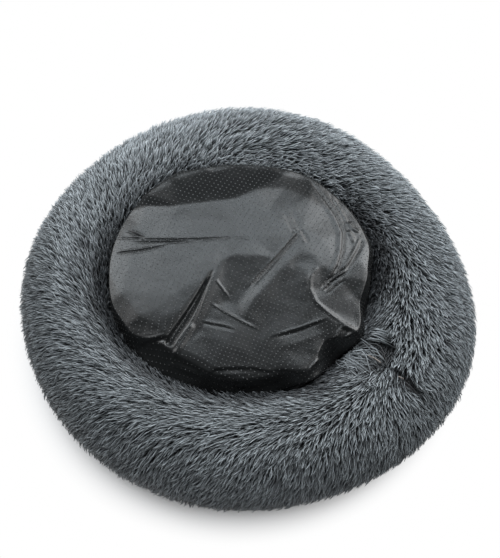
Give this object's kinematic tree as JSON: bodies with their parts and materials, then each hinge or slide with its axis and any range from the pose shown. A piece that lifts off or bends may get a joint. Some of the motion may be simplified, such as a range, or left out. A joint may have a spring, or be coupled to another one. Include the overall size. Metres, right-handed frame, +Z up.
{
  "type": "donut pet bed",
  "caption": "Round stuffed pet bed with a long-pile ring and a dotted non-slip base panel, lying upside down with the base panel on top and the sleeping well underneath.",
  "frame": {"origin": "on the floor under the middle of the bed's outline, with the bed lying upside down as pictured", "axes": "+Z up, through the base panel and away from the sleeping side; +X to the right and +Y to the back as pictured, so that the ring's end seam lies 40 degrees from +X towards -Y"},
  "size_m": [0.6036, 0.6024, 0.157],
  "materials": {
    "fur": "long brushed polyester pile, dark blue grey with paler tips",
    "grip_cloth": "creased dark grey coated cloth with a satin sheen and small raised grip dots",
    "lining": "thin white non-woven lining",
    "fibre": "loose white polyester filling",
    "thread": "dark overlocked seam allowance and thread"
  },
  "bodies": {
    "root": {"ring_fur_cover": "fur", "ring_end_seam": "thread", "ring_liner": "lining", "ring_fill": "fibre", "base_panel": "grip_cloth", "base_seam": "thread", "closing_stitch": "thread", "pad_liner": "lining", "pad_fill": "fibre", "sleeping_panel": "fur", "sleeping_seam": "thread"}
  },
  "joints": []
}
